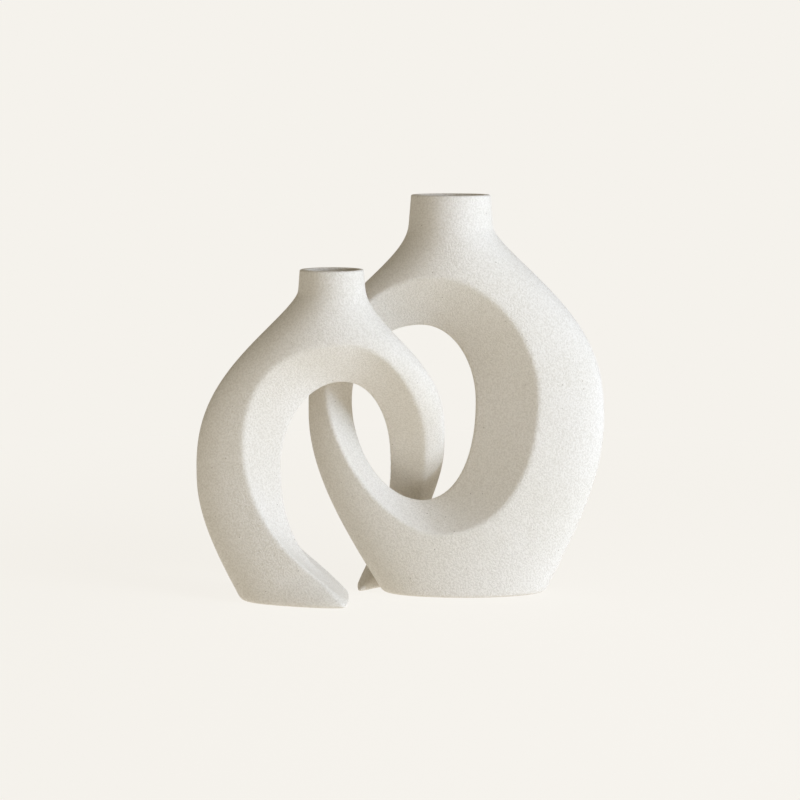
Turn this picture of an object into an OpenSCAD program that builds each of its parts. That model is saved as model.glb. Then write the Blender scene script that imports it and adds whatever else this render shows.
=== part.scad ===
// Two hollow stoneware vases that interlock: a closed ring vase and, linked through its hole,
// a smaller arch vase that stands on two pointed feet. Both are flattened bottles with a round
// neck and an egg-shaped hole whose walls slant in from both faces and meet at a waist.
// X runs to the right, Y to the back and Z up. The origin is on the floor under the large neck.

/* [Large vase] */
// Height of the large vase from the floor to its rim
large_h = 250; // [230:1:275]
// Outer width of the large neck at its rim
large_neck_d = 49; // [46:0.5:54]
// Reach of the large belly to the left of the neck axis
large_left = 88.5; // [85:0.5:95]
// Reach of the large belly to the right of the neck axis
large_right = 96.5; // [88:0.5:110]
// Height of the widest place of the large vase
large_belly_z = 114; // [105:1:125]
// Height at which the large neck begins to flare on its left
large_flare_left_z = 231; // [225:0.5:240]
// Height at which the large neck begins to flare on its right
large_flare_right_z = 236; // [228:0.5:244]
// Thickness of the large belly from front to back
large_depth = 52; // [48:1:54]
// Reach of the large base to the left of the neck axis
large_base_left = 42; // [36:1:50]
// Reach of the large base to the right of the neck axis
large_base_right = 60; // [50:1:70]
// Thickness of the large base from front to back
large_base_depth = 41; // [36:1:43]
// Inner width of the large mouth
large_mouth_d = 40; // [30:0.5:41]
// Depth of the straight stretch of the large mouth
large_mouth_l = 24; // [16:1:28]

/* [Large hole] */
// Place of the large waist curve's middle, to the right of the neck axis
large_waist_x = -18; // [-20:0.5:-16]
// Height of the large waist curve's middle
large_waist_z = 121; // [118:1:124]
// Reach of the large see-through hole to the left of that middle
large_waist_left = 43.5; // [40:0.5:45]
// Reach of the large see-through hole to the right of that middle
large_waist_right = 34; // [30:0.5:38]
// Reach of the large see-through hole upwards
large_waist_up = 48.5; // [46:0.5:52]
// Reach of the large see-through hole downwards
large_waist_down = 62.4; // [60:0.2:64]
// Place of the large crease's middle, to the right of the neck axis
large_crease_x = -8; // [-10:0.5:-6]
// Height of the large crease's middle
large_crease_z = 128; // [126:0.5:130]
// Reach of the large crease to the left of that middle
large_crease_left = 68.5; // [66:0.5:71]
// Reach of the large crease to the right of that middle
large_crease_right = 62; // [56:0.5:68]
// Reach of the large crease upwards
large_crease_up = 72.5; // [68:0.5:76]
// Reach of the large crease downwards
large_crease_down = 86.5; // [84:0.5:90]

/* [Small vase] */
// Height of the small vase from the floor to its rim
small_h = 206.5; // [200:0.5:220]
// Outer width of the small neck at its rim
small_neck_d = 38.5; // [36:0.5:42]
// Reach of the small belly to the left of its neck axis
small_left = 84.2; // [80:0.2:90]
// Reach of the small belly to the right of its neck axis
small_right = 69; // [66:0.5:72]
// Height of the widest place of the small vase on its left
small_belly_left_z = 78; // [74:1:88]
// Height of the widest place of the small vase on its right
small_belly_right_z = 93; // [90:1:104]
// Height at which the small neck begins to flare on its left
small_flare_left_z = 201; // [196:0.5:204]
// Height at which the small neck begins to flare on its right
small_flare_right_z = 195.5; // [190:0.5:200]
// Thickness of the small belly from front to back
small_depth = 42; // [36:0.5:43]
// Reach of the left foot to the left of the small neck axis
small_base_left = 57.5; // [52:0.5:62]
// Reach of the right foot to the right of the small neck axis
small_base_right = 36; // [33:0.5:38]
// Thickness of the feet from front to back
small_base_depth = 41; // [36:0.5:42]
// Inner width of the small mouth
small_mouth_d = 31; // [24:0.5:32]
// Depth of the straight stretch of the small mouth
small_mouth_l = 16; // [12:1:18]

/* [Small hole] */
// Place of the small waist curve's middle, to the right of the small neck axis
small_waist_x = 12; // [10:0.5:13]
// Height of the small waist curve's middle
small_waist_z = 83; // [80:1:86]
// Reach of the small see-through hole to the left of that middle
small_waist_left = 44.2; // [42:0.2:46]
// Reach of the small see-through hole to the right of that middle
small_waist_right = 22.7; // [20:0.1:24]
// Reach of the small see-through hole upwards
small_waist_up = 54.2; // [52:0.2:56]
// Reach of the small see-through hole downwards, past the floor
small_waist_down = 87; // [86:0.5:90]
// Place of the small crease's middle, to the right of the small neck axis
small_crease_x = 12; // [11:0.5:13]
// Height of the small crease's middle
small_crease_z = 95; // [93:0.5:97]
// Reach of the small crease to the left of that middle
small_crease_left = 65.6; // [63:0.2:67]
// Reach of the small crease to the right of that middle
small_crease_right = 44.7; // [43:0.1:46]
// Reach of the small crease upwards
small_crease_up = 67.7; // [65:0.1:69]
// Reach of the small crease downwards, past the floor
small_crease_down = 97; // [96.5:0.5:103]

/* [Interlock] */
// Distance from the large neck axis to the small neck axis, to the left
neck_pitch = 72.3; // [71:0.1:74]
// Room that the small vase keeps in front of the large one and behind it
link_gap = 1.5; // [1:0.1:3]
// How far the left foot's middle lies in front of the large vase's middle
left_foot_forward = 23; // [18:0.5:26]
// How far the tips of both feet, beside the gap, reach forward of the feet's own line
tip_forward = 6; // [0:0.5:8]

/* [Shell] */
// Thickness of the fired walls
wall = 4.5; // [3.5:0.25:5]
// Thickness of the closed bottoms
floor_t = 6; // [4:0.5:9]
// Radius of the rounded edge round each base
base_round = 3; // [1.5:0.25:4]
// Bevel round the outside of each rim
rim_bevel = 1; // [0.4:0.1:1.5]

/* [Hidden] */

// Growth of the neck's radius for each unit of height below the rim
neck_draft = 0.08;
// Powers of the shoulder curve: how soft its start is, and how full its end
shoulder_start = 2.3;
shoulder_end = 3;
// Fullness of each quarter of a hole curve: up right, up left, down left, down right
large_waist_fullness = [2, 2.1, 1.9, 2.2];
large_crease_fullness = [1.8, 2, 1.6, 2.2];
small_waist_fullness = [1.7, 2.3, 2, 2];
small_crease_fullness = [1.8, 2.5, 1.6, 2.3];
// How strongly the lower end of the small hole draws in to a point, and how late
small_waist_point = 0.9;
small_crease_point = 0.95;
point_power = 4.5;
// The wall along a slanted face is thicker in plane than the wall itself by this ratio
slant_ratio = 1.9;
// Overrun of every cut past the face that it opens
over = 2;
// How closely the crown, the right leg and the right foot nest against the large vase, as shares
// of half of both thicknesses there
crown_nest_share = 0.766;
leg_nest_share = 0.67;
foot_nest_share = 0.451;
// How far the small neck stands in front of the large one, how far the right leg swings back
// below the large hole, and how far the right foot's middle lies behind the large vase's middle
small_forward = (large_depth + small_depth) / 2 * crown_nest_share + link_gap;
right_leg_back = (large_depth + small_depth) / 2 * leg_nest_share + link_gap;
right_foot_back = (large_base_depth + small_base_depth) / 2 * foot_nest_share + link_gap;
// Heights, as shares of the small vase's height, through which its legs are bent
left_path_shares = [0, 0.3, 0.58, 0.82, 1];
right_path_shares = [0, 0.1, 0.2, 0.3, 0.435, 0.61, 0.82, 1];
// Bend at those heights, as shares of the way from the crown's place to the left foot's, and,
// above the right foot, from the crown's place to the right leg's farthest place
left_bend_shares = [1, 0.8, 0.27, 0, 0];
right_bend_shares = [0.95, 1, 0.92, 0.6, 0.22, 0, 0];
// Height above which the feet's tips are back in line, as a share of the small vase's height
tip_height_share = 0.1;
// Farthest place of a gap's edge on a narrow section, as a share of its half width
gap_limit_share = 0.7;
// Lowest place of the small hole at which its gap is still measured, as a share of its reach
gap_end_share = 0.98;
// Farthest place across a face at which its depth is taken, as a share of its half width
face_edge_share = 0.97;
// Height of the first ring of a rounded base edge, as a share of its radius
base_ring_share = 0.3;
// Angle each way over which the direction of an egg curve is taken
turn_step = 1;
// Numbers of sides, rings and steps
sides = 44;
rings = 24;
hole_steps = 44;
hole_layers = 3;
leg_sides = 8;
gap_sides = 5;
cavity_sides = 32;
cavity_rings = 14;
clay = [0.86, 0.84, 0.79];

// Shape of a shoulder between the neck (0) and the belly (1)
function shoulder(t) = pow(1 - pow(1 - t, shoulder_end), shoulder_start);

// Shape of a flank between the belly (0) and the base (1)
function flank(t) = t * t * (3 - t) / 2;

// Half width at height z of a bottle's side
function side_at(z, neck, flare_z, belly_z, belly, base) =
  z >= flare_z ? neck
  : z >= belly_z ? neck + (belly - neck) * shoulder((flare_z - z) / (flare_z - belly_z))
  : belly + (base - belly) * flank((belly_z - max(z, 0)) / belly_z);

// Value at place v of a smooth curve through the places at and the values val. The curve is level
// where the values turn or stay the same, so that it doesn't run past them
function slope_at(at, val, i) =
  let (a = max(i - 1, 0), b = min(i + 1, len(at) - 1))
  a < i && b > i && (val[i] - val[a]) * (val[b] - val[i]) <= 0 ? 0
  : (val[b] - val[a]) / (at[b] - at[a]);
function span_of(at, v, i = 0) = i >= len(at) - 2 || v < at[i + 1] ? i : span_of(at, v, i + 1);
function through(at, val, v) =
  let (
    i = span_of(at, v),
    w = at[i + 1] - at[i],
    t = min(max((v - at[i]) / w, 0), 1),
    rise = val[i + 1] - val[i],
    s0 = slope_at(at, val, i) * w,
    s1 = slope_at(at, val, i + 1) * w
  )
  val[i] + t * (s0 + t * (3 * rise - 2 * s0 - s1 + t * (s0 + s1 - 2 * rise)));

// Point of an egg curve at angle a: reach is right, left, up, down from the middle
function egg(a, middle, reach, fullness, point = 0) =
  let (
    c = cos(a),
    s = sin(a),
    n = fullness[s >= 0 ? (c >= 0 ? 0 : 1) : (c < 0 ? 2 : 3)],
    dx = pow(abs(c), 2 / n),
    dz = pow(abs(s), 2 / n),
    draw = s < 0 ? 1 - point * pow(dz, point_power) : 1
  )
  [middle[0] + sign(c) * (c >= 0 ? reach[0] : reach[1]) * dx * draw,
   middle[1] + sign(s) * (s >= 0 ? reach[2] : reach[3]) * dz];

// Triangles across an end ring of n points, between its two halves, which run side by side
function end_faces(n) = concat(
  [for (i = [0 : n / 2 - 2]) [i, i + 1, n - i - 1]],
  [for (i = [1 : n / 2 - 1]) [i, n - i - 1, n - i]]);

// Triangles that join rings of n points each, with both ends closed
function tube_faces(count, n) = concat(
  [for (k = [0 : count - 2], i = [0 : n - 1]) [k * n + i, (k + 1) * n + i, (k + 1) * n + (i + 1) % n]],
  [for (k = [0 : count - 2], i = [0 : n - 1]) [k * n + i, (k + 1) * n + (i + 1) % n, k * n + (i + 1) % n]],
  end_faces(n),
  [for (f = end_faces(n)) [for (i = [2, 1, 0]) (count - 1) * n + f[i]]]);

// Half widths to the left and right and half depth of each vase at height z
function large_neck(z) = large_neck_d / 2 + neck_draft * max(large_h - z, 0);
function large_l(z) =
  side_at(z, large_neck(z), large_flare_left_z, large_belly_z, large_left, large_base_left);
function large_r(z) =
  side_at(z, large_neck(z), large_flare_right_z, large_belly_z, large_right, large_base_right);
function large_d(z) =
  side_at(z, large_neck(z), large_flare_left_z, large_belly_z, large_depth / 2, large_base_depth / 2);

function small_neck(z) = small_neck_d / 2 + neck_draft * max(small_h - z, 0);
function small_l(z) =
  side_at(z, small_neck(z), small_flare_left_z, small_belly_left_z, small_left, small_base_left);
function small_r(z) =
  side_at(z, small_neck(z), small_flare_right_z, small_belly_right_z, small_right, small_base_right);
function small_d(z) =
  side_at(z, small_neck(z), small_flare_right_z, small_belly_left_z, small_depth / 2, small_base_depth / 2);

// How far the small vase is bent to the back at height z, x to the right of its neck axis
function left_bend(z) =
  through([for (s = left_path_shares) s * small_h],
          [for (s = left_bend_shares) s * (small_forward - left_foot_forward) - small_forward], z);
function right_bend(z) =
  through([for (s = right_path_shares) s * small_h],
          concat([right_foot_back],
                 [for (s = right_bend_shares) s * (small_forward + right_leg_back) - small_forward]), z);

// Half width of the small hole at height z as a share of its widest place, kept above that place
function gap_share(z) =
  let (t = min(max((small_waist_z - z) / small_waist_down, 0), gap_end_share))
  sqrt(1 - t * t) * (1 - small_waist_point * pow(t, point_power));
function gap_left(z) = small_waist_x - small_waist_left * gap_share(z);
function gap_right(z) = small_waist_x + small_waist_right * gap_share(z);
function eased(v) = let (t = min(max(v, 0), 1)) t * t * (3 - 2 * t);
function small_bend(x, z) =
  let (
    w = eased((x - gap_left(z)) / (gap_right(z) - gap_left(z))),
    left_tip = eased((x + small_base_left) / (gap_left(z) + small_base_left)),
    right_tip = eased((small_base_right - x) / (small_base_right - gap_right(z))),
    tip = pow(min(left_tip, right_tip), 2),
    low = 1 - eased(z / (small_h * tip_height_share))
  )
  left_bend(z) * (1 - w) + right_bend(z) * w - tip_forward * tip * low;

// Waist and crease curves of each hole at angle a
function large_waist(a) =
  egg(a, [large_waist_x, large_waist_z],
      [large_waist_right, large_waist_left, large_waist_up, large_waist_down], large_waist_fullness);
function large_crease(a) =
  egg(a, [large_crease_x, large_crease_z],
      [large_crease_right, large_crease_left, large_crease_up, large_crease_down],
      large_crease_fullness);
function small_waist(a) =
  egg(a, [small_waist_x, small_waist_z],
      [small_waist_right, small_waist_left, small_waist_up, small_waist_down],
      small_waist_fullness, small_waist_point);
function small_crease(a) =
  egg(a, [small_crease_x, small_crease_z],
      [small_crease_right, small_crease_left, small_crease_up, small_crease_down],
      small_crease_fullness, small_crease_point);

// Half depth of a vase's face over the point p = [x, z], from its half widths and half depth there
function face_depth(p, l, r, d) =
  let (c = (r - l) / 2, w = (r + l) / 2, q = min(abs(p[0] - c) / w, face_edge_share))
  d * sqrt(1 - q * q);

// One oval section: l, r, d are its half widths and half depth
function oval(l, r, d, n) =
  [for (i = [0 : n - 1]) [(r - l) / 2 + (r + l) / 2 * cos(360 * i / n), d * sin(360 * i / n)]];

// The same oval with its points set out by leg, gap and leg, so that no face spans a leg and the gap
function legged_oval(l, r, d, z) =
  let (
    c = (r - l) / 2,
    w = (r + l) / 2,
    to_left = acos(max((gap_left(z) - c) / w, -gap_limit_share)),
    to_right = acos(min((gap_right(z) - c) / w, gap_limit_share)),
    front = concat(
      [for (i = [0 : leg_sides - 1]) 180 + (to_left - 180) * i / leg_sides],
      [for (i = [0 : gap_sides - 1]) to_left + (to_right - to_left) * i / gap_sides],
      [for (i = [0 : leg_sides - 1]) to_right * (1 - i / leg_sides)]),
    all = concat([for (a = front) -a], [for (i = [0 : len(front) - 1]) i == 0 ? 0 : front[len(front) - i]])
  )
  [for (a = all) [c + w * cos(a), d * sin(a)]];

// Heights of the outer rings, closer at the rounded base edge and at the rim
function ring_heights(h) = concat(
  [0, base_round * base_ring_share, base_round],
  [for (i = [1 : rings]) base_round + (h - base_round - rim_bevel) * i / rings],
  [h]);
function edge_loss(z, h) =
  z < base_round ? base_round - sqrt(base_round * base_round - pow(base_round - z, 2))
  : z > h - rim_bevel ? z - h + rim_bevel : 0;

// Point at depth y on the slanted wall from the waist through the crease
function ruling(waist, crease, depth, y) = waist + (crease - waist) * abs(y) / depth;
// Direction out of a hole, square to the way from one point of its edge to the next
function outward(before, after) = let (d = after - before) [d[1], -d[0]] / norm(d);

// Body of the large vase without its hole
module large_outer() {
  heights = ring_heights(large_h);
  points = [for (z = heights)
    let (e = edge_loss(z, large_h))
    for (p = oval(large_l(z) - e, large_r(z) - e, large_d(z) - e, sides)) [p[0], p[1], z]];
  polyhedron(points, tube_faces(len(heights), sides));
}

// Cutter for the large hole, its walls pushed outwards to leave clay round the chamber
module large_hole(push) {
  reach = large_depth / 2 + over;
  points = [for (k = [-1 : 1], i = [0 : hole_steps - 1])
    let (
      a = -360 * i / hole_steps,
      w = large_waist(a),
      c = large_crease(a),
      depth = face_depth(c, large_l(c[1]), large_r(c[1]), large_d(c[1])),
      side = outward(large_waist(a - turn_step), large_waist(a + turn_step)),
      p = ruling(w, c, depth, k * reach) + push * side
    )
    [p[0], k * reach, p[1]]];
  polyhedron(points, tube_faces(3, hole_steps));
}

// Chamber inside the large vase, below the mouth
module large_cavity() {
  top = large_h - large_mouth_l;
  heights = [for (i = [0 : cavity_rings]) floor_t + (top - floor_t) * i / cavity_rings];
  points = [for (z = heights)
    for (p = oval(large_l(z) - wall, large_r(z) - wall, large_d(z) - wall, cavity_sides)) [p[0], p[1], z]];
  difference() {
    polyhedron(points, tube_faces(len(heights), cavity_sides));
    large_hole(wall * slant_ratio);
  }
}

module large_ring_vase() {
  color(clay) difference() {
    large_outer();
    large_hole(0);
    large_cavity();
    translate([0, 0, large_h - large_mouth_l - over])
      cylinder(d = large_mouth_d, h = large_mouth_l + 2 * over);
  }
}

// Body of the small vase without its hole, bent along its legs
module small_outer() {
  heights = ring_heights(small_h);
  points = [for (z = heights)
    let (e = edge_loss(z, small_h))
    for (p = legged_oval(small_l(z) - e, small_r(z) - e, small_d(z) - e, z))
      [p[0], p[1] + small_bend(p[0], z), z]];
  polyhedron(points, tube_faces(len(heights), len(points) / len(heights)));
}

// Cutter for the small hole, bent with the body and flat beyond both of its faces
module small_hole(push) {
  reach = small_depth / 2 + over;
  far = small_forward + right_leg_back + small_depth;
  points = [for (k = [-hole_layers - 1 : hole_layers + 1], i = [0 : hole_steps - 1])
    let (
      a = -360 * i / hole_steps,
      near = min(max(k, -hole_layers), hole_layers),
      w = small_waist(a),
      c = small_crease(a),
      depth = face_depth(c, small_l(c[1]), small_r(c[1]), small_d(c[1])),
      y = reach * near / hole_layers,
      side = outward(small_waist(a - turn_step), small_waist(a + turn_step)),
      p = ruling(w, c, depth, y) + push * side
    )
    [p[0], k == near ? y + small_bend(p[0], p[1]) : sign(k) * far, p[1]]];
  polyhedron(points, tube_faces(2 * hole_layers + 3, hole_steps));
}

// Chamber inside the small vase, below the mouth
module small_cavity() {
  top = small_h - small_mouth_l;
  heights = [for (i = [0 : cavity_rings]) floor_t + (top - floor_t) * i / cavity_rings];
  points = [for (z = heights)
    for (p = legged_oval(small_l(z) - wall, small_r(z) - wall, small_d(z) - wall, z))
      [p[0], p[1] + small_bend(p[0], z), z]];
  difference() {
    polyhedron(points, tube_faces(len(heights), len(points) / len(heights)));
    small_hole(wall * slant_ratio);
  }
}

module small_arch_vase() {
  color(clay) translate([-neck_pitch, 0, 0]) difference() {
    small_outer();
    small_hole(0);
    small_cavity();
    translate([0, -small_forward, small_h - small_mouth_l - over])
      cylinder(d = small_mouth_d, h = small_mouth_l + 2 * over);
  }
}

large_ring_vase();
small_arch_vase();
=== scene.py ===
import math

import bmesh
import bpy
import numpy as np
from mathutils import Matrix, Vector


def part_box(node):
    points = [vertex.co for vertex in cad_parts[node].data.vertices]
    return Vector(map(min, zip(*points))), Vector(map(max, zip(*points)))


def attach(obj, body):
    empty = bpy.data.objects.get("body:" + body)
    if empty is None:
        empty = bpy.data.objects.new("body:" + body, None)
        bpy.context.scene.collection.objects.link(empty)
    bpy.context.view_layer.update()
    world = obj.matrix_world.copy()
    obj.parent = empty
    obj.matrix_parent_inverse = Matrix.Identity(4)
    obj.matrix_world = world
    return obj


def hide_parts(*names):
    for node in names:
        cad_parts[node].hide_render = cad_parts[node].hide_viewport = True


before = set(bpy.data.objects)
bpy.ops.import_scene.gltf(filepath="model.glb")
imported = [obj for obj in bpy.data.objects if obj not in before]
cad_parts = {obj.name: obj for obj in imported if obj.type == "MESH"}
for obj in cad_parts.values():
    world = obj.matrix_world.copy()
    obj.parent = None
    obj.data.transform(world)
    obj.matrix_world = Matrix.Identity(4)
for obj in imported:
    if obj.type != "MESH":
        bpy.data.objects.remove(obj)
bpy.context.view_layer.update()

# Two hollow stoneware vases. Each is the zero surface of one distance field in millimetres:
# a flattened bottle, less an egg-shaped hole with slanted walls, less the chamber inside.
# The field's edges are blended, so creases, rims and base edges are rounded as fired clay is.
MM = 0.001

# Millimetres between the field's samples: along the body, and at the rim and the base
STEP = 0.8
FINE_STEP = 0.5
MARGIN = 4.0
FINE_BAND = 4.0

# Shape powers that both vases share
NECK_DRAFT = 0.08
SHOULDER = (2.3, 3.0)
POINT_POWER = 4.5
FACE_EDGE_SHARE = 0.97
GAP_END_SHARE = 0.98
# Least width that is left at a hole's point, and the furthest share past the crease
POINT_END, SHARE_END = 0.02, 1.5
# Least divisors: a squared slope of a field, and a share of the way to an egg curve
TINY_SLOPE, TINY_FAR = 1e-8, 1e-6

# Clay thickness as the fields count it, where the real wall is up to 0.7 mm thinner in places, and
# the blend width of each kind of edge
WALL, WALL_LEAST, FLOOR = 4.5, 3.8, 6.0
CREASE_BLEND, WAIST_SOFTNESS, CHAMBER_SOFTNESS = 1.0, 0.9, 6.0
BASE_BLEND, RIM_BLEND, LIP_BLEND, CHAMBER_BLEND = 3.0, 0.9, 0.9, 4.0
# Reaches over which the outer and the chamber's field are averaged: they keep knife edges off the
# feet, and thin or sharp ends off the chamber
EDGE_REACH, CHAMBER_REACH, CHAMBER_LIMIT = 0.8, 3.2, 8.0

# A side is the height where its neck flares, the belly's height, the half widths at belly and base,
# and the shoulder's powers. Reaches are right, left, up, down; fullness is up right, up left, down
# left, down right; the top of a curve lies beside its middle by the top shift
LARGE = {
    "height": 250.0, "axis": (0.0, 0.0), "neck": 24.5,
    "left": (232.5, 114.0, 88.5, 42.0, SHOULDER), "right": (230.0, 109.0, 96.3, 60.0, (1.5, 2.5)),
    "depth": (231.0, 114.0, 26.0, 20.5, SHOULDER), "mouth": (20.0, 24.0),
    "waist": {"middle": (-18.0, 121.0), "reach": (33.4, 43.0, 48.0, 61.9),
              "fullness": (2.0, 2.1, 1.9, 2.2), "point": 0.0, "top_shift": 0.0},
    "crease": {"middle": (-8.0, 128.0), "reach": (62.0, 68.5, 72.5, 86.5),
               "fullness": (1.8, 2.0, 1.65, 2.2), "point": 0.0, "top_shift": 0.0},
}
SMALL = {
    "height": 206.5, "axis": (-72.3, -37.5), "neck": 19.25,
    "left": (193.5, 77.5, 83.9, 57.5, (1.5, 2.55)), "right": (195.5, 93.0, 69.0, 36.0, SHOULDER),
    "depth": (195.5, 78.0, 21.0, 20.5, SHOULDER), "base": (57.5, 36.0), "mouth": (15.5, 16.0),
    "waist": {"middle": (12.0, 83.0), "reach": (22.1, 43.8, 54.2, 85.0),
              "fullness": (2.25, 1.97, 2.0, 2.0), "point": 0.95, "top_shift": -7.0},
    "crease": {"middle": (12.0, 95.0), "reach": (44.7, 65.6, 67.7, 97.0),
               "fullness": (1.8, 2.4, 1.57, 2.3), "point": 0.95, "top_shift": 0.0},
}
# The small vase is bent along its legs: places are shares of its height, bends are shares of the
# way from the crown, which stands in front, to the left foot and to the right leg behind
LEFT_FOOT_FORWARD, RIGHT_FOOT_BACK, RIGHT_LEG_BACK = 23.0, 20.0, 33.0
LEFT_PATH, LEFT_BEND = (0.0, 0.3, 0.58, 0.82, 1.0), (1.0, 0.8, 0.27, 0.0, 0.0)
RIGHT_PATH = (0.0, 0.1, 0.2, 0.3, 0.435, 0.61, 0.82, 1.0)
RIGHT_BEND = (0.95, 1.0, 0.92, 0.6, 0.22, 0.0, 0.0)
# The bend changes over between the legs, in a gap that reaches down this far and ends this pointed
GAP_REACH, GAP_POINT = 87.0, 0.9
# Both feet's tips, beside the gap, reach forward near the floor
TIP_FORWARD, TIP_HEIGHT_SHARE = 6.0, 0.1


def smooth_max(a, b, blend):
    """The larger of two fields, with the edge between them rounded over the blend's width."""
    overlap = np.maximum(blend - np.abs(a - b), 0.0)
    return np.maximum(a, b) + overlap * overlap / (4.0 * blend)


def smooth_min(a, b, blend):
    return -smooth_max(-a, -b, blend)


def through(places, values, at):
    """Value at a place on a smooth curve through the places and values, level where they turn."""
    places, values = np.array(places), np.array(values)
    rises, runs = np.diff(values), np.diff(places)
    slopes = np.empty(len(places))
    slopes[1:-1] = (rises[1:] + rises[:-1]) / (runs[1:] + runs[:-1]) * (rises[1:] * rises[:-1] > 0)
    slopes[0], slopes[-1] = rises[0] / runs[0], rises[-1] / runs[-1]
    i = np.clip(np.searchsorted(places, at, side="right") - 1, 0, len(places) - 2)
    width = places[i + 1] - places[i]
    t = np.clip((at - places[i]) / width, 0.0, 1.0)
    rise = values[i + 1] - values[i]
    s0, s1 = slopes[i] * width, slopes[i + 1] * width
    return values[i] + t * (s0 + t * (3 * rise - 2 * s0 - s1 + t * (s0 + s1 - 2 * rise)))


def side_at(z, neck, side):
    """Half width of a bottle's side: a neck, a soft shoulder, and a flank down to the base."""
    flare_z, belly_z, belly, base, (start, end) = side
    t = np.clip((flare_z - z) / (flare_z - belly_z), 0.0, 1.0)
    shoulder = (1.0 - (1.0 - t) ** end) ** start
    down = np.clip((belly_z - z) / belly_z, 0.0, 1.0)
    flank = down * down * (3.0 - down) / 2.0
    return np.where(z >= belly_z, neck + (belly - neck) * shoulder, belly + (base - belly) * flank)


def half_sizes(vase, z):
    """Half widths to the left and right, and half depth, at height z."""
    neck = vase["neck"] + NECK_DRAFT * np.maximum(vase["height"] - z, 0.0)
    return [side_at(z, neck, vase[side]) for side in ("left", "right", "depth")]


def egg_at(vase, share, x, z):
    """Place of a point against the egg curve a share of the way from the waist to the crease.

    Returns its signed steps across and up, as shares of the curve's reach, and its distance from
    the middle, which is 1 on the curve."""
    waist, crease = vase["waist"], vase["crease"]
    mixed = np.clip(share, 0.0, 1.0)

    def between(name, i, s=share):
        return waist[name][i] + (crease[name][i] - waist[name][i]) * s

    dz = z - between("middle", 1)
    top_shift = waist["top_shift"] + (crease["top_shift"] - waist["top_shift"]) * share
    shift = np.where(dz >= 0, top_shift, 0.0)
    dx = x - between("middle", 0) - shift
    wide = np.where(dx >= 0, between("reach", 0) - shift, between("reach", 1) + shift)
    tall = np.where(dz >= 0, between("reach", 2), between("reach", 3))
    upper = np.where(dx >= 0, between("fullness", 0, mixed), between("fullness", 1, mixed))
    lower = np.where(dx >= 0, between("fullness", 3, mixed), between("fullness", 2, mixed))
    fullness = np.where(dz >= 0, upper, lower)
    up = dz / tall
    point = waist["point"] + (crease["point"] - waist["point"]) * mixed
    drawn = np.maximum(1.0 - point * np.clip(-up, 0.0, 1.0) ** POINT_POWER, POINT_END)
    across = dx / (wide * drawn)
    return across, up, (np.abs(across) ** fullness + np.abs(up) ** fullness) ** (1.0 / fullness)


def crease_depth(vase, x, z):
    """Half depth of the outer face at the place of the crease that lies the way of each point."""
    across, up, far = egg_at(vase, 1.0, x, z)
    across, up = (step / np.maximum(far, TINY_FAR) for step in (across, up))
    crease = vase["crease"]
    right, left, top, bottom = crease["reach"]
    drawn = 1.0 - crease["point"] * np.clip(-up, 0.0, 1.0) ** POINT_POWER
    cx = crease["middle"][0] + across * np.where(across >= 0, right, left) * drawn
    cz = crease["middle"][1] + up * np.where(up >= 0, top, bottom)
    l, r, d = half_sizes(vase, cz)
    share = np.minimum(np.abs(cx - (r - l) / 2.0) / ((r + l) / 2.0), FACE_EDGE_SHARE)
    return d * np.sqrt(1.0 - share * share)


def hole_field(vase, x, y, z, softness):
    """Positive in the hole, whose edge at each depth is an egg between the waist and the crease."""
    edge = crease_depth(vase, x, z)
    layers = []
    for j in range(y.shape[1]):
        depth = y[:, j, :]
        soft = np.sqrt(depth * depth + softness**2)
        soft = soft - softness * np.maximum(1.0 - (depth / edge) ** 2, 0.0)
        layers.append(1.0 - egg_at(vase, np.minimum(soft / edge, SHARE_END), x, z)[2])
    return np.stack(layers, axis=1)


def eased(value):
    share = np.clip(value, 0.0, 1.0)
    return share * share * (3.0 - 2.0 * share)


def small_bend(x, z):
    """How far the small vase is bent to the back, from its neck's axis."""
    waist, height, forward = SMALL["waist"], SMALL["height"], -SMALL["axis"][1]
    left_values = [s * (forward - LEFT_FOOT_FORWARD) - forward for s in LEFT_BEND]
    leg_values = [s * (forward + RIGHT_LEG_BACK) - forward for s in RIGHT_BEND]
    right_values = [RIGHT_FOOT_BACK, *leg_values]
    left = through([s * height for s in LEFT_PATH], left_values, z)
    right = through([s * height for s in RIGHT_PATH], right_values, z)
    t = np.clip((waist["middle"][1] - z) / GAP_REACH, 0.0, GAP_END_SHARE)
    gap = np.sqrt(1.0 - t * t) * (1.0 - GAP_POINT * t**POINT_POWER)
    gap_left = waist["middle"][0] - waist["reach"][1] * gap
    gap_right = waist["middle"][0] + waist["reach"][0] * gap
    weight = eased((x - gap_left) / (gap_right - gap_left))
    outer_left, outer_right = SMALL["base"]
    left_tip = eased((x + outer_left) / (gap_left + outer_left))
    right_tip = eased((outer_right - x) / (outer_right - gap_right))
    low = 1.0 - eased(z / (height * TIP_HEIGHT_SHARE))
    tip = np.minimum(left_tip, right_tip) ** 2 * low
    return left * (1.0 - weight) + right * weight - TIP_FORWARD * tip


def as_distance(field, axes):
    """A field divided by its own slope, so that near zero it counts in millimetres."""
    slopes = np.gradient(field, *axes)
    return field / np.sqrt(np.maximum(sum(s * s for s in slopes), TINY_SLOPE))


def averaged(field, reach):
    """A field with each value averaged twice over the neighbours within its reach, in samples."""
    for axis in range(3):
        count = field.shape[axis]
        for _ in range(2):
            pad = [(reach + 1, reach) if i == axis else (0, 0) for i in range(3)]
            total = np.cumsum(np.pad(field, pad, mode="edge"), axis=axis)
            span = 2 * reach + 1
            above = np.take(total, range(span, span + count), axis)
            below = np.take(total, range(count), axis)
            field = (above - below) / span
    return field


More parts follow.
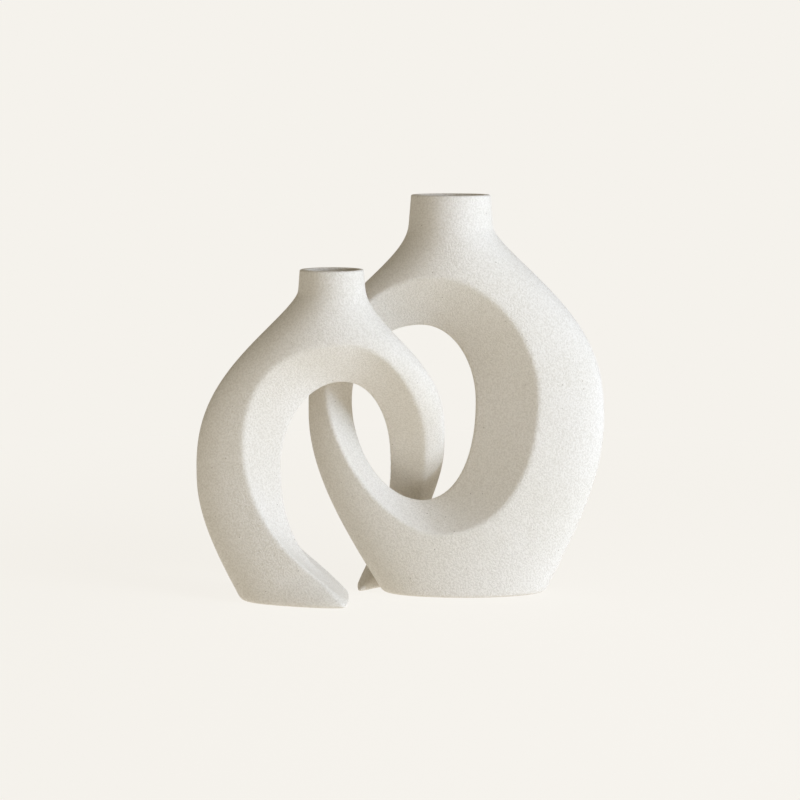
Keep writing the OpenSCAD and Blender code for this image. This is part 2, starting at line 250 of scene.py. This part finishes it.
def vase_field(vase, axes, bend):
    """Distance to the clay's surface, negative inside the clay."""
    x, y, z = np.meshgrid(*axes, indexing="ij", sparse=True)
    x = x - vase["axis"][0]
    height = vase["height"]
    left, right, depth = half_sizes(vase, z)
    flat_x, flat_z = x[:, 0, :], z[:, 0, :]
    y = y - bend(flat_x, flat_z)[:, None, :]
    middle, half_width = (right - left) / 2.0, (right + left) / 2.0
    body = np.sqrt(((x - middle) / half_width) ** 2 + (y / depth) ** 2) - 1.0
    body = as_distance(body, axes)
    hole = as_distance(hole_field(vase, flat_x, y, flat_z, WAIST_SOFTNESS), axes)
    outer = smooth_max(body, -z, BASE_BLEND)
    outer = averaged(smooth_max(outer, hole, CREASE_BLEND), int(round(EDGE_REACH / STEP)))
    least_wall = outer + WALL_LEAST
    outer = smooth_max(outer, z - height, RIM_BLEND)
    mouth, mouth_length = vase["mouth"]
    hole = as_distance(hole_field(vase, flat_x, y, flat_z, CHAMBER_SOFTNESS), axes)
    chamber = smooth_max(body + WALL, hole + WALL, CHAMBER_BLEND)
    chamber = smooth_max(chamber, FLOOR - z, CHAMBER_BLEND)
    chamber = smooth_max(chamber, z - (height - mouth_length), CHAMBER_BLEND)
    chamber = np.clip(chamber, -CHAMBER_LIMIT, CHAMBER_LIMIT)
    chamber = averaged(chamber, int(round(CHAMBER_REACH / STEP)))
    chamber = np.maximum(chamber, least_wall)
    bore = np.sqrt(x * x + y * y) - mouth
    bore = smooth_max(bore, (height - mouth_length - CHAMBER_BLEND) - z, CHAMBER_BLEND)
    hollow = smooth_min(chamber, bore, CHAMBER_BLEND)
    return smooth_max(outer, -hollow, LIP_BLEND)


def spaced(low, high, step):
    return np.linspace(low, high, int(round((high - low) / step)) + 1)


def field_axes(node, height):
    """Sample places round a node's box, closer together at its base and its rim."""
    low, high = (np.array(corner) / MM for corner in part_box(node))
    x, y = (spaced(low[i] - MARGIN, high[i] + MARGIN, STEP) for i in (0, 1))
    base = spaced(-MARGIN, FINE_BAND, FINE_STEP)
    body = spaced(FINE_BAND, height - FINE_BAND, STEP)
    rim = spaced(height - FINE_BAND, height + MARGIN, FINE_STEP)
    return x, y, np.concatenate([base, body[1:-1], rim])


def surface_net(field, axes):
    """One vertex in each cell that the surface crosses, and one quad for each edge that it cuts."""
    inside = field < 0
    nx, ny, nz = field.shape
    corners = sum(
        inside[i : nx - 1 + i, j : ny - 1 + j, k : nz - 1 + k].astype(np.int8)
        for i in (0, 1) for j in (0, 1) for k in (0, 1)
    )
    active = (corners > 0) & (corners < 8)
    cells = np.argwhere(active)
    index = np.full(active.shape, -1, np.int64)
    index[active] = np.arange(len(cells))
    total, crossings = np.zeros((len(cells), 3)), np.zeros(len(cells))
    for axis in range(3):
        b, c = (axis + 1) % 3, (axis + 2) % 3
        for db in (0, 1):
            for dc in (0, 1):
                start = cells.copy()
                start[:, b] += db
                start[:, c] += dc
                end = start.copy()
                end[:, axis] += 1
                f0, f1 = field[tuple(start.T)], field[tuple(end.T)]
                hit = (f0 < 0) != (f1 < 0)
                places = np.stack([axes[i][start[hit, i]] for i in range(3)], axis=1)
                length = axes[axis][end[hit, axis]] - axes[axis][start[hit, axis]]
                places[:, axis] += length * f0[hit] / (f0[hit] - f1[hit])
                total[hit] += places
                crossings[hit] += 1
    quads = []
    for axis in range(3):
        b, c = (axis + 1) % 3, (axis + 2) % 3
        first = np.take(inside, range(field.shape[axis] - 1), axis)
        second = np.take(inside, range(1, field.shape[axis]), axis)
        for leaving in (True, False):
            start = np.argwhere(first & ~second if leaving else ~first & second)
            ring = []
            for db, dc in ((0, 0), (-1, 0), (-1, -1), (0, -1)):
                cell = start.copy()
                cell[:, b] += db
                cell[:, c] += dc
                ring.append(index[tuple(cell.T)])
            quads.append(np.stack(ring if leaving else ring[::-1], axis=1))
    return total / crossings[:, None], np.concatenate(quads)


def sampled(grids, axes, points):
    """Values of several grids at the points, between their eight nearest samples."""
    cells, shares = [], []
    for i, axis in enumerate(axes):
        cell = np.clip(np.searchsorted(axis, points[:, i], side="right") - 1, 0, len(axis) - 2)
        cells.append(cell)
        shares.append((points[:, i] - axis[cell]) / (axis[cell + 1] - axis[cell]))
    values = [np.zeros(len(points)) for _ in grids]
    for i in (0, 1):
        for j in (0, 1):
            for k in (0, 1):
                corner = (cells[0] + i, cells[1] + j, cells[2] + k)
                weight = np.ones(len(points))
                for share, side in zip(shares, (i, j, k)):
                    weight *= share if side else 1.0 - share
                for value, grid in zip(values, grids):
                    value += weight * grid[corner]
    return values


# Rounds that even out the net, steps back to the surface in each, and the least squared slope
RELAX_ROUNDS, SURFACE_STEPS, LEAST_SLOPE = 6, 2, 0.05


def relaxed(points, quads, field, axes):
    """Evens out the net, and puts its points back on the surface after each round."""
    grids = [field, *np.gradient(field, *axes)]
    start = quads.ravel()
    end = np.roll(quads, -1, axis=1).ravel()
    count = np.bincount(start, minlength=len(points)) + np.bincount(end, minlength=len(points))

    def summed(values):
        ahead = np.bincount(start, values[end], len(points))
        return ahead + np.bincount(end, values[start], len(points))

    for _ in range(RELAX_ROUNDS):
        around = np.stack([summed(points[:, i]) for i in range(3)], axis=1)
        points = (points + around / count[:, None]) / 2.0
        for _ in range(SURFACE_STEPS):
            value, gx, gy, gz = sampled(grids, axes, points)
            slope = np.stack([gx, gy, gz], axis=1)
            size = np.maximum((slope**2).sum(axis=1), LEAST_SLOPE)
            points = points - slope * (value / size)[:, None]
    return points


def vase_mesh(name, vase, node, bend):
    axes = field_axes(node, vase["height"])
    field = vase_field(vase, axes, bend)
    points, quads = surface_net(field, axes)
    points = relaxed(points, quads, field, axes)
    mesh = bpy.data.meshes.new(name)
    mesh.from_pydata((points * MM).tolist(), [], quads.tolist())
    mesh.validate()
    mesh.polygons.foreach_set("use_smooth", [True] * len(mesh.polygons))
    piece = bpy.data.objects.new(name, mesh)
    bpy.context.scene.collection.objects.link(piece)
    return piece


def feed(tree, socket, value):
    if isinstance(value, bpy.types.NodeSocket):
        tree.links.new(value, socket)
    else:
        socket.default_value = value


def node_of(tree, kind, place, **values):
    """A shader node with its inputs set, or linked where the value is another node's socket."""
    node = tree.nodes.new(kind)
    node.location = place
    for name, value in values.items():
        feed(tree, node.inputs[name.replace("_", " ")], value)
    return node


def ramp(tree, place, factor, positions, colours):
    """The first colour up to the first position, the second one from the second position on."""
    node = node_of(tree, "ShaderNodeValToRGB", place, Fac=factor)
    for element, position, colour in zip(node.color_ramp.elements, positions, colours):
        element.position = position
        element.color = (*colour, 1.0)
    return node.outputs["Color"]


def colour_mix(tree, place, a, b, factor=1.0, blend="MULTIPLY"):
    node = node_of(tree, "ShaderNodeMix", place)
    node.data_type = "RGBA"
    node.blend_type = blend
    for name, value in (("Factor", factor), ("A", a), ("B", b)):
        feed(tree, node.inputs[name], value)
    return node.outputs["Result"]


CLAY_PALE, CLAY_WARM = (0.80, 0.75, 0.665), (0.775, 0.724, 0.63)
GRAIN_DARK = (0.87, 0.86, 0.84)
SPECK = (0.38, 0.32, 0.25)
WHITE, BLACK = (1.0, 1.0, 1.0), (0.0, 0.0, 0.0)
DRIFT_SCALE, DRIFT_DETAIL, DRIFT_RAMP = 22.0, 4.0, (0.35, 0.65)
GRAIN_SCALE, GRAIN_DETAIL, GRAIN_ROUGHNESS, GRAIN_RAMP = 850.0, 3.0, 0.7, (0.4, 0.58)
# The second ramp picks which of the grit's cells show a speck
GRIT_SCALE, GRIT_RAMP, PICK_RAMP = 230.0, (0.05, 0.11), (0.70, 0.74)
ROUGHNESS, SPECULAR = (0.78, 0.95), 0.25
BUMP_STRENGTH, BUMP_DISTANCE = 1.0, 0.0005


def stoneware():
    """Unglazed off-white clay: soft drifts of tone, sandy grain, sparse dark grit and fine pits."""
    material = bpy.data.materials.new("stoneware")
    material.use_nodes = True
    tree = material.node_tree
    shader = tree.nodes["Principled BSDF"]
    place = tree.nodes.new("ShaderNodeTexCoord").outputs["Object"]
    drift = node_of(tree, "ShaderNodeTexNoise", (-900, 300), Vector=place,
                    Scale=DRIFT_SCALE, Detail=DRIFT_DETAIL)
    tone = ramp(tree, (-700, 300), drift.outputs["Fac"], DRIFT_RAMP, (CLAY_WARM, CLAY_PALE))
    grain = node_of(tree, "ShaderNodeTexNoise", (-900, 0), Vector=place,
                    Scale=GRAIN_SCALE, Detail=GRAIN_DETAIL, Roughness=GRAIN_ROUGHNESS)
    sand = ramp(tree, (-700, 0), grain.outputs["Fac"], GRAIN_RAMP, (GRAIN_DARK, WHITE))
    grit = node_of(tree, "ShaderNodeTexVoronoi", (-900, -300), Vector=place, Scale=GRIT_SCALE)
    spot = ramp(tree, (-700, -300), grit.outputs["Distance"], GRIT_RAMP, (WHITE, BLACK))
    pick = ramp(tree, (-700, -500), grit.outputs["Color"], PICK_RAMP, (BLACK, WHITE))
    chosen = colour_mix(tree, (-450, -400), spot, pick)
    sandy = colour_mix(tree, (-450, 200), tone, sand)
    speckled = colour_mix(tree, (-200, 100), sandy, (*SPECK, 1.0), chosen, "MIX")
    feed(tree, shader.inputs["Base Color"], speckled)
    rough = node_of(tree, "ShaderNodeMapRange", (-450, -100), Value=grain.outputs["Fac"],
                    To_Min=ROUGHNESS[0], To_Max=ROUGHNESS[1])
    feed(tree, shader.inputs["Roughness"], rough.outputs["Result"])
    shader.inputs["Specular IOR Level"].default_value = SPECULAR
    bump = node_of(tree, "ShaderNodeBump", (-200, -250), Height=grain.outputs["Fac"],
                   Strength=BUMP_STRENGTH, Distance=BUMP_DISTANCE)
    feed(tree, shader.inputs["Normal"], bump.outputs["Normal"])
    return material


BACKDROP = (0.913, 0.888, 0.839)
ROOM_LIGHT, ROOM_STRENGTH = (1.0, 0.902, 0.692), 0.276
KEY_COLOUR, HIGH_COLOUR = (0.623, 0.761, 1.0), (0.837, 0.877, 1.0)
KEY_PLACE, HIGH_PLACE = (1.35, -0.7, 0.12), (0.9, -0.9, 1.1)
KEY_POWER, HIGH_POWER, LAMP_SIZE = 27.0, 8.5, 0.6
AIM = (-0.03, 0.0, 0.12)
ROOM_RADIUS, DOME_SEGMENTS = 5.0, 48
# Share of the floor that takes light and shadow, the distances over which it fades out, and what
# the lamps throw on the floor, against the backdrop's own tone
SHADOW_SHARE, SHADOW_FADE, FLOOR_LIGHT = 0.06, (0.25, 0.7), 0.5


def glow_paint(name):
    """Plain pale paper that glows at one even tone."""
    paint = bpy.data.materials.new(name)
    paint.use_nodes = True
    tree = paint.node_tree
    tree.nodes.clear()
    glow = node_of(tree, "ShaderNodeEmission", (0, 100), Color=(*BACKDROP, 1.0), Strength=1.0)
    out = node_of(tree, "ShaderNodeOutputMaterial", (400, 0), Surface=glow.outputs["Emission"])
    return paint, glow, out


def floor_paint():
    """The same paper, with faint soft shadows near the vases that fade into it further out."""
    paint, glow, out = glow_paint("floor_paint")
    tree = paint.node_tree
    place = tree.nodes.new("ShaderNodeTexCoord").outputs["Object"]
    far = node_of(tree, "ShaderNodeVectorMath", (-600, -100))
    far.operation = "LENGTH"
    tree.links.new(place, far.inputs[0])
    fade = node_of(tree, "ShaderNodeMapRange", (-400, -100), Value=far.outputs["Value"],
                   From_Min=SHADOW_FADE[0], From_Max=SHADOW_FADE[1],
                   To_Min=SHADOW_SHARE, To_Max=0.0)
    fade.interpolation_type = "SMOOTHSTEP"
    pale = [c / FLOOR_LIGHT for c in BACKDROP]
    matt = node_of(tree, "ShaderNodeBsdfDiffuse", (0, -100), Color=(*pale, 1.0))
    both = node_of(tree, "ShaderNodeMixShader", (200, 0), Fac=fade.outputs["Result"])
    tree.links.new(glow.outputs["Emission"], both.inputs[1])
    tree.links.new(matt.outputs["BSDF"], both.inputs[2])
    tree.links.new(both.outputs["Shader"], out.inputs["Surface"])
    return paint


def staged(name, mesh, paint):
    """A part of the studio."""
    piece = bpy.data.objects.new(name, mesh)
    bpy.context.scene.collection.objects.link(piece)
    mesh.materials.append(paint)
    return piece


def lamp(name, place, size, power, colour):
    light = bpy.data.lights.new(name, "AREA")
    light.size = size
    light.energy = power
    light.color = colour
    piece = bpy.data.objects.new(name, light)
    bpy.context.scene.collection.objects.link(piece)
    piece.location = place
    piece.rotation_euler = (Vector(AIM) - Vector(place)).to_track_quat("-Z", "Y").to_euler()


def studio():
    """A pale glowing floor, a backdrop of its tone, a low key from the right and a high lamp."""
    scene = bpy.context.scene
    scene.view_settings.view_transform = "Standard"
    world = bpy.data.worlds.new("studio")
    scene.world = world
    world.use_nodes = True
    sky = world.node_tree.nodes["Background"]
    sky.inputs["Color"].default_value = (*ROOM_LIGHT, 1.0)
    sky.inputs["Strength"].default_value = ROOM_STRENGTH
    floor = bpy.data.meshes.new("floor")
    signs = ((-1, -1), (1, -1), (1, 1), (-1, 1))
    floor.from_pydata([(x * ROOM_RADIUS, y * ROOM_RADIUS, 0) for x, y in signs], [], [(0, 1, 2, 3)])
    staged("floor", floor, floor_paint())
    form = bmesh.new()
    bmesh.ops.create_uvsphere(
        form, u_segments=DOME_SEGMENTS, v_segments=DOME_SEGMENTS // 2, radius=ROOM_RADIUS
    )
    dome = bpy.data.meshes.new("backdrop")
    form.to_mesh(dome)
    form.free()
    shell = staged("backdrop", dome, glow_paint("backdrop_paint")[0])
    # The backdrop shows, but the light comes from the lamps, the floor and the room
    shell.visible_diffuse = shell.visible_glossy = shell.visible_shadow = False
    lamp("key", KEY_PLACE, LAMP_SIZE, KEY_POWER, KEY_COLOUR)
    lamp("high", HIGH_PLACE, LAMP_SIZE, HIGH_POWER, HIGH_COLOUR)


CAMERA_PLACE = (-0.0313, -1.25, 0.29)
CAMERA_TILT = math.radians(7.645)
CAMERA_LENS, SENSOR_WIDTH = 90.86, 36.0


def camera():
    data = bpy.data.cameras.new("camera")
    data.lens = CAMERA_LENS
    data.sensor_width = SENSOR_WIDTH
    shot = bpy.data.objects.new("camera", data)
    bpy.context.scene.collection.objects.link(shot)
    shot.location = CAMERA_PLACE
    shot.rotation_euler = (math.pi / 2 - CAMERA_TILT, 0.0, 0.0)
    bpy.context.scene.camera = shot


def upright(x, z):
    """The large vase isn't bent."""
    return np.zeros(np.broadcast(x, z).shape)


camera()
studio()
clay = stoneware()
for node, vase, bend, body in (
    ("large_ring_vase", LARGE, upright, "large_vase"),
    ("small_arch_vase", SMALL, small_bend, "small_vase"),
):
    shell = vase_mesh(node + "_shell", vase, node, bend)
    shell.data.materials.append(clay)
    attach(shell, body)
    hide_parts(node)
